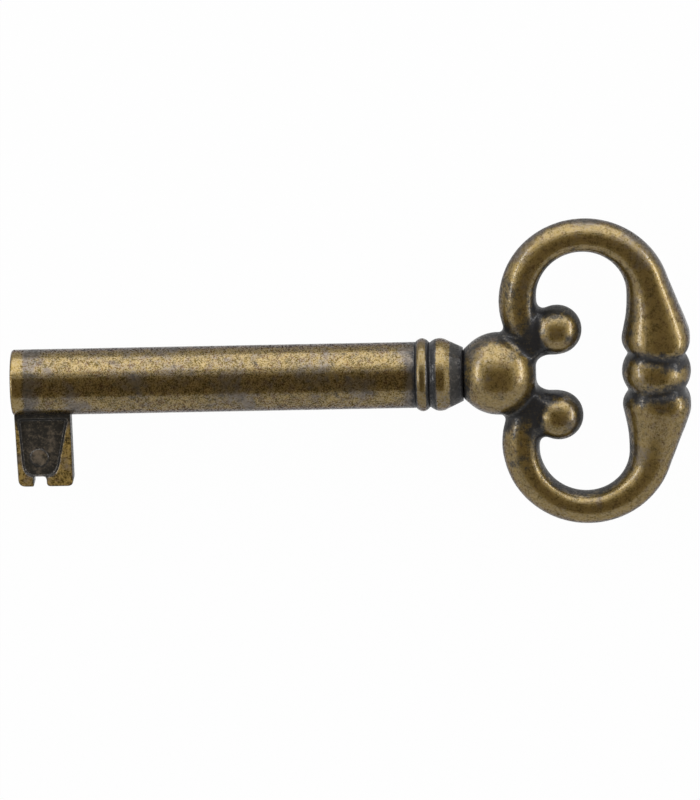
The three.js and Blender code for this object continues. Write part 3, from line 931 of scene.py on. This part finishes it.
def band_wear(mesh, start, end, soft):
    """Bright on a band along the axis, filmed behind it and dark before it"""
    along = places_mm(mesh)[:, 0]
    before = 1 - eased(along, start - soft, start + soft)
    shares = BAND_SHARES
    return shares.rubbed * within(along, start, end, soft) + shares.plain + shares.before * before


def bit_wear_and_edge_shade(mesh, bit):
    """Bright on the plate's faces, filmed in the panels and below the shank, and darker on the edges, partly
    film and partly painted shade
    """
    places = places_mm(mesh)
    depth = bit.thickness / 2 - np.abs(places[:, 2])
    facing = np.abs(vertex_array(mesh, "normal")[:, 2])
    proud = (1 - eased(depth, 0, bit.panel_depth)) * eased(facing, *BORDER_FACING_SHARES)
    head = bit.foot - bit.head_film
    below = eased(-places[:, 1], head, head + bit.head_fade)
    flank = 1 - eased(facing, *FLANK_FACING_SHARES)
    shares = BIT_WEAR_AND_SHADE_SHARES
    return shares.rubbed * spread(mesh, proud, PROUD_ROUNDS) * below + shares.plain + shares.flank * flank


def bow_wear_and_outline_shade(mesh):
    """Bright on what stands proud to either side and darker on the flanks, partly rubbing and film, partly
    painted shade along the outline
    """
    facing = np.abs(vertex_array(mesh, "normal")[:, 2])
    return BOW_WEAR_AND_SHADE_SHARES.plain + BOW_WEAR_AND_SHADE_SHARES.proud * eased(facing, *BOW_FACING_SHARES)


def wear_and_shade_layers(meshes, scene):
    """How rubbed each point of each piece is, with painted shade on the flanks of the bit and the bow"""
    wear = in_mm(scene.key_wear)
    ferrule_start = from_tip(RING_HIGH.x) + wear.ferrule_flank
    bands = {
        "key_ring": (from_tip(RING_LOW.x) + wear.ring_margin, from_tip(RING_HIGH.x) - wear.ring_flank),
        "key_ferrule": (ferrule_start, ferrule_start + wear.ferrule_band),
    }
    layers = {name: band_wear(meshes[name], *ends, wear.soft) for name, ends in bands.items()}
    layers["key_shank"] = shank_wear(meshes["key_shank"], wear, in_mm(scene.key_barrel))
    layers["key_bit"] = bit_wear_and_edge_shade(meshes["key_bit"], in_mm(scene.key_bit))
    layers["key_bow"] = bow_wear_and_outline_shade(meshes["key_bow"])
    return layers


def node(tree, kind, sockets=None, **settings):
    """A new node with its settings and the plain values of its named sockets"""
    item = tree.nodes.new(kind)
    for name, value in settings.items():
        setattr(item, name, value)
    for name, value in (sockets or {}).items():
        item.inputs[name].default_value = value
    return item


def joined(tree, source, target):
    tree.links.new(source, target)


def noise(tree, coordinates, size, detail, seed=0.0):
    """A noise that swings about nought and whose features are about as long as the size socket says"""
    item = node(tree, "ShaderNodeTexNoise", {"W": seed, "Detail": detail, "Roughness": NOISE_ROUGHNESS},
                noise_dimensions="4D")
    joined(tree, coordinates, item.inputs["Vector"])
    joined(tree, maths(tree, "DIVIDE", 1.0, size), item.inputs["Scale"])
    return centred(tree, item.outputs["Fac"])


def stepped(tree, value, ends):
    """Nought below the first end and one above the second, eased between"""
    item = node(tree, "ShaderNodeMapRange", {"From Min": ends[0], "From Max": ends[1]},
                interpolation_type="SMOOTHSTEP")
    joined(tree, value, item.inputs["Value"])
    return item.outputs["Result"]


def centred(tree, value):
    """A value between 0 and 1 as a swing about nought"""
    return maths(tree, "SUBTRACT", value, 0.5)


def blend(tree, factor, first, second):
    item = node(tree, "ShaderNodeMix", data_type="RGBA")
    joined(tree, factor, item.inputs[0])
    joined(tree, first, item.inputs[6])
    joined(tree, second, item.inputs[7])
    return item.outputs[2]


def maths(tree, operation, *values):
    """A maths node on sockets or plain values"""
    item = node(tree, "ShaderNodeMath", operation=operation)
    for socket, value in zip(item.inputs, values):
        if isinstance(value, (int, float)):
            socket.default_value = value
        else:
            joined(tree, value, socket)
    return item.outputs[0]


def weighted(tree, total, *terms):
    """A start value plus each socket times its share"""
    for value, share_of_it in terms:
        total = maths(tree, "MULTIPLY_ADD", value, share_of_it, total)
    return total


def add_sockets(group, side, kind, names):
    for name in names:
        group.interface.new_socket(name=name, in_out=side, socket_type=kind)


def aged_brass_group():
    """Aged brass: its colour, roughness, lacquer and height by flecks, blotches, clouds, wear with painted
    shade on flanks, and grime
    """
    tree = bpy.data.node_groups.new("Aged brass", "ShaderNodeTree")
    add_sockets(tree, "INPUT", "NodeSocketColor", ("Gold", "Olive", "Umber", "Mauve", "Slate", "Soot"))
    add_sockets(tree, "INPUT", "NodeSocketFloat", ("Fleck", "Blotch", "Cloud", "Grime", "Shade", "Wear"))
    add_sockets(tree, "INPUT", "NodeSocketFloat", ("Worn Roughness", "Dull Roughness", "Lacquer", "Speckle"))
    add_sockets(tree, "OUTPUT", "NodeSocketColor", ("Color",))
    add_sockets(tree, "OUTPUT", "NodeSocketFloat", ("Roughness", "Coat", "Metallic", "Height"))
    given = node(tree, "NodeGroupInput").outputs
    put = node(tree, "NodeGroupOutput").inputs
    shares, ranges = BRASS_SHARES, BRASS_RANGES
    place = node(tree, "ShaderNodeTexCoord").outputs["Object"]
    fleck = noise(tree, place, given["Fleck"], FINE_DETAIL)
    blotch = noise(tree, place, given["Blotch"], FINE_DETAIL)
    cloud = noise(tree, place, given["Cloud"], SOFT_DETAIL)
    tint = noise(tree, place, given["Blotch"], SOFT_DETAIL, TINT_SEED)
    stain = noise(tree, place, given["Blotch"], FINE_DETAIL, STAIN_SEED)
    # The wear value is partly painted shade on the bit's and bow's flanks
    wear = centred(tree, given["Wear"])
    speckle = maths(tree, "MULTIPLY", fleck, given["Speckle"])
    mottle = weighted(tree, speckle, (blotch, shares.blotch))
    rubbed = weighted(tree, mottle, (wear, shares.wear_gold))
    brown = blend(tree, stepped(tree, tint, ranges.umber), given["Olive"], given["Umber"])
    metal = blend(tree, stepped(tree, rubbed, ranges.gold), brown, given["Gold"])
    veil = weighted(tree, 0.0, (cloud, shares.cloud_film), (tint, shares.tint_film),
                    (speckle, shares.speckle_film), (wear, shares.wear_film))
    film = maths(tree, "MULTIPLY", stepped(tree, veil, ranges.film), shares.film)
    filmed = blend(tree, film, metal, given["Mauve"])
    uneven = weighted(tree, 0.0, (stain, shares.stain), (cloud, shares.cloud))
    solid = weighted(tree, 1.0, (stepped(tree, mottle, ranges.broken), shares.broken))
    shelter = weighted(tree, maths(tree, "ADD", given["Shade"], uneven), (wear, shares.wear_thick))
    thick = maths(tree, "MULTIPLY", stepped(tree, shelter, ranges.thick), solid)
    sheltered = blend(tree, thick, filmed, given["Slate"])
    crevice = weighted(tree, given["Grime"], (uneven, shares.uneven_dirt), (wear, shares.wear_dirt))
    dirt = maths(tree, "MULTIPLY", stepped(tree, crevice, ranges.dirt), solid)
    joined(tree, blend(tree, dirt, sheltered, given["Soot"]), put["Color"])
    matt = maths(tree, "MAXIMUM", dirt, maths(tree, "MULTIPLY", thick, shares.thick_matt))
    joined(tree, weighted(tree, 1.0, (matt, shares.matt)), put["Metallic"])
    covered = maths(tree, "MAXIMUM", dirt, thick)
    dull = maths(tree, "MAXIMUM", covered, maths(tree, "MULTIPLY", film, shares.film_dull))
    span = maths(tree, "SUBTRACT", given["Dull Roughness"], given["Worn Roughness"])
    rough = weighted(tree, given["Worn Roughness"], (span, dull), (speckle, shares.speckle_dull))
    joined(tree, rough, put["Roughness"])
    clear = weighted(tree, 1.0, (covered, shares.covered))
    coat = maths(tree, "MULTIPLY", clear, stepped(tree, speckle, ranges.glint))
    joined(tree, maths(tree, "MULTIPLY", given["Lacquer"], coat), put["Coat"])
    joined(tree, mottle, put["Height"])
    return tree


def emptied(owner, kind="Material"):
    """The node tree of a material or world with an output alone, and the socket of its surface"""
    owner.use_nodes = True
    tree = owner.node_tree
    tree.nodes.clear()
    return tree, node(tree, "ShaderNodeOutput" + kind).inputs["Surface"]


def painted_light_tone(tint, share_of_it):
    """A colour made paler or darker, as painted light for how brightly a piece is lit"""
    return [value * share_of_it for value in tint[:3]] + [1.0]


def brass_material(name, group, finish, look):
    """Lacquered aged brass with a piece's own grain, speckles, dullness and depth of bumps"""
    material = bpy.data.materials.new(name)
    tree, surface = emptied(material)
    # The gold and mauve are painted paler on the bit and darker on the collar rings, for how brightly each
    # piece is lit
    brass = node(tree, "ShaderNodeGroup", node_tree=group, sockets={
        "Gold": painted_light_tone(finish.gold, look.gleam_share), "Olive": finish.olive, "Umber": finish.umber,
        "Mauve": painted_light_tone(finish.mauve, look.gleam_share), "Slate": finish.slate, "Soot": finish.soot,
        "Fleck": finish.fleck * look.grain_share, "Blotch": finish.blotch * look.grain_share,
        "Cloud": finish.cloud, "Worn Roughness": finish.worn_roughness + look.dulled,
        "Dull Roughness": finish.dull_roughness, "Lacquer": finish.lacquer, "Speckle": look.speckle,
    })
    for attribute in ("grime", "shade", "wear"):
        layer = node(tree, "ShaderNodeAttribute", attribute_name=attribute)
        joined(tree, layer.outputs["Fac"], brass.inputs[attribute.capitalize()])
    shader = node(tree, "ShaderNodeBsdfPrincipled", {
        "Coat Roughness": finish.lacquer_roughness, "Coat IOR": LACQUER_INDEX, "Specular Tint": RIM_TINT})
    feeds = {"Color": "Base Color", "Roughness": "Roughness", "Metallic": "Metallic", "Coat": "Coat Weight"}
    for output, socket in feeds.items():
        joined(tree, brass.outputs[output], shader.inputs[socket])
    bump = node(tree, "ShaderNodeBump", {"Strength": 1.0, "Distance": look.relief})
    joined(tree, brass.outputs["Height"], bump.inputs["Height"])
    joined(tree, bump.outputs["Normal"], shader.inputs["Normal"])
    joined(tree, shader.outputs["BSDF"], surface)
    return material


def join_seen(tree, surface, unseen, seen, seen_share):
    """Join a shader for the rays of camera, gloss and glass, up to a share, and another for the rest"""
    path = node(tree, "ShaderNodeLightPath")
    mirror = maths(tree, "MAXIMUM", path.outputs["Is Camera Ray"], path.outputs["Is Glossy Ray"])
    direct = maths(tree, "MAXIMUM", mirror, path.outputs["Is Transmission Ray"])
    mix = node(tree, "ShaderNodeMixShader")
    joined(tree, maths(tree, "MULTIPLY", direct, seen_share), mix.inputs["Fac"])
    joined(tree, unseen, mix.inputs[1])
    joined(tree, seen, mix.inputs[2])
    joined(tree, mix.outputs["Shader"], surface)


def floor_material(stage):
    material = bpy.data.materials.new("floor white")
    tree, surface = emptied(material)
    matt = node(tree, "ShaderNodeBsdfDiffuse", {"Color": FLOOR_GREY})
    glow = node(tree, "ShaderNodeEmission", {"Color": WHITE})
    join_seen(tree, surface, matt.outputs["BSDF"], glow.outputs["Emission"], stage.floor_share)
    return material


def card_material(stage):
    material = bpy.data.materials.new("card dark")
    tree, surface = emptied(material)
    glow = node(tree, "ShaderNodeEmission", {"Color": stage.card})
    joined(tree, glow.outputs["Emission"], surface)
    return material


def view_turn(stage):
    """The turn from the camera's axes to the shared frame's"""
    yaw = Matrix.Rotation(-stage.turn, 4, "Y")
    pitch = Matrix.Rotation(-stage.roll, 4, "X")
    roll = Matrix.Rotation(-stage.tilt, 4, "Z")
    return yaw @ pitch @ roll


def seen_from(stage, up, aside, distance):
    """A place round the key, by its degrees up and aside from the camera's line, that looks at the key"""
    turn = Matrix.Rotation(math.radians(aside), 4, "Y") @ Matrix.Rotation(-math.radians(up), 4, "X")
    middle = Matrix.Translation((stage.aim_x, 0, TIP.z))
    return middle @ view_turn(stage) @ turn @ Matrix.Translation((0, 0, distance))


def add_camera(stage):
    data = bpy.data.cameras.new("camera")
    data.sensor_fit = "VERTICAL"
    data.sensor_height = SENSOR_HEIGHT
    data.lens = SENSOR_HEIGHT * stage.distance / (IMAGE_HEIGHT * stage.pixel)
    data.clip_start = stage.distance * CLIP_SHARE
    data.clip_end = stage.distance / CLIP_SHARE
    camera = new_object("camera", data)
    offset = Matrix.Translation((-stage.shift_x, -stage.shift_y, stage.distance))
    camera.matrix_world = Matrix.Translation((stage.aim_x, 0, TIP.z)) @ view_turn(stage) @ offset
    bpy.context.scene.camera = camera


def add_soft_box(name, stage, box):
    """An area lamp whose energy gives its face the stated brightness"""
    data = bpy.data.lights.new(name, "AREA")
    data.shape = "RECTANGLE"
    data.size = box.width
    data.size_y = box.height
    data.energy = getattr(stage, box.light) * math.pi * box.width * box.height
    lamp = new_object(name, data)
    lamp.visible_camera = False
    lamp.matrix_world = seen_from(stage, box.up, box.aside, stage.lamp_distance)


def add_world(stage):
    world = bpy.data.worlds.new("room")
    bpy.context.scene.world = world
    tree, surface = emptied(world, "World")
    room = node(tree, "ShaderNodeBackground", {"Strength": stage.world_light})
    backdrop = node(tree, "ShaderNodeBackground", {"Color": WHITE})
    join_seen(tree, surface, room.outputs["Background"], backdrop.outputs["Background"], 1.0)


def add_sheet(name, width, height, place, material):
    """A flat piece of the stage"""
    bm = bmesh.new()
    bmesh.ops.create_grid(bm, x_segments=1, y_segments=1, size=1)
    bmesh.ops.transform(bm, matrix=place @ Matrix.Diagonal((width / 2, height / 2, 1, 1)), verts=bm.verts)
    sheet = new_object(name, mesh_from(bm, name))
    sheet.data.materials.append(material)
    return sheet


class KEY_OT_barrel(bpy.types.Operator):
    """Turn the hollow shank and mill the slot for the bit"""
    bl_idname = "key.barrel"
    bl_label = "Shank"

    def execute(self, context):
        scene = context.scene
        barrel = in_mm(scene.key_barrel)
        mesh = cut(barrel_mesh(barrel), slot_mesh(barrel, in_mm(scene.key_bit)))
        finish_piece(mesh, "key_shank", "barrel")
        return {"FINISHED"}


class KEY_OT_bit(bpy.types.Operator):
    """Model the bit with its panels and notch"""
    bl_idname = "key.bit"
    bl_label = "Bit"

    def execute(self, context):
        scene = context.scene
        mesh = bit_mesh(in_mm(scene.key_bit), in_mm(scene.key_barrel))
        finish_piece(mesh, "key_bit", "bit")
        return {"FINISHED"}


class KEY_OT_collar(bpy.types.Operator):
    """Turn the two rings of the collar"""
    bl_idname = "key.collar"
    bl_label = "Collar"

    def execute(self, context):
        collar = in_mm(context.scene.key_collar)
        finish_piece(ring_mesh(collar), "key_ring", "collar_ring")
        finish_piece(ferrule_mesh(collar), "key_ferrule", "collar_ferrule")
        return {"FINISHED"}


class KEY_OT_bow(bpy.types.Operator):
    """Cast the scrolled bow with its stem, ball and bead"""
    bl_idname = "key.bow"
    bl_label = "Bow"

    def execute(self, context):
        finish_piece(bow_mesh(in_mm(context.scene.key_bow)), "key_bow", "bow")
        return {"FINISHED"}


class KEY_OT_finish(bpy.types.Operator):
    """Settle the grime and give each piece its aged brass"""
    bl_idname = "key.finish"
    bl_label = "Finish"

    def execute(self, context):
        scene = context.scene
        pieces = [bpy.data.objects[name] for name in PIECES]
        settle_grime(pieces)
        worn_and_shaded = wear_and_shade_layers({piece.name: piece.data for piece in pieces}, scene)
        group = aged_brass_group()
        for piece in pieces:
            mesh = piece.data
            # The wear layer also carries the painted shade on the bit's and bow's flanks
            store(mesh, "wear", worn_and_shaded[piece.name])
            mesh.materials.clear()
            look = PIECES[piece.name]
            mesh.materials.append(brass_material(piece.name + " brass", group, scene.key_finish, look))
        return {"FINISHED"}


class KEY_OT_stage(bpy.types.Operator):
    """Set the floor, the soft boxes, the dark card and the camera"""
    bl_idname = "key.stage"
    bl_label = "Stage"

    def execute(self, context):
        stage = context.scene.key_stage
        context.scene.view_settings.view_transform = "Standard"
        add_camera(stage)
        add_world(stage)
        floor = add_sheet("floor", FLOOR_WIDTH, FLOOR_WIDTH, Matrix.Identity(4), floor_material(stage))
        floor.visible_glossy = False
        for name, box in SOFT_BOXES.items():
            add_soft_box(name, stage, box)
        place = seen_from(stage, CARD_UP, 0, stage.card_distance)
        card = add_sheet("card", CARD_WIDTH, CARD_HEIGHT, place, card_material(stage))
        card.visible_camera = False
        card.visible_diffuse = False
        card.visible_shadow = False
        return {"FINISHED"}


class KEY_PT_panel(bpy.types.Panel):
    """Lists the steps that make the key"""
    bl_label = "Furniture key"
    bl_idname = "KEY_PT_panel"
    bl_space_type = "VIEW_3D"
    bl_region_type = "UI"
    bl_category = "Key"

    def draw(self, context):
        for step in STEPS:
            self.layout.operator(step.bl_idname)
        for name in SETTINGS:
            group = getattr(context.scene, name)
            column = self.layout.column(heading=name)
            for item in group.__annotations__:
                column.prop(group, item)


SETTINGS = {
    "key_barrel": BarrelSizes,
    "key_bit": BitSizes,
    "key_collar": CollarSizes,
    "key_bow": BowSizes,
    "key_wear": WearSizes,
    "key_finish": FinishSettings,
    "key_stage": StageSettings,
}
STEPS = (KEY_OT_stage, KEY_OT_barrel, KEY_OT_bit, KEY_OT_collar, KEY_OT_bow, KEY_OT_finish)
CLASSES = (*SETTINGS.values(), *STEPS, KEY_PT_panel)


def register():
    for item in CLASSES:
        bpy.utils.register_class(item)
    for name, group in SETTINGS.items():
        setattr(bpy.types.Scene, name, PointerProperty(type=group))


def unregister():
    for name in SETTINGS:
        delattr(bpy.types.Scene, name)
    for item in reversed(CLASSES):
        bpy.utils.unregister_class(item)


def main():
    register()
    bpy.ops.key.stage()
    bpy.ops.key.barrel()
    bpy.ops.key.bit()
    bpy.ops.key.collar()
    bpy.ops.key.bow()
    bpy.ops.key.finish()


if __name__ == "__main__":
    main()
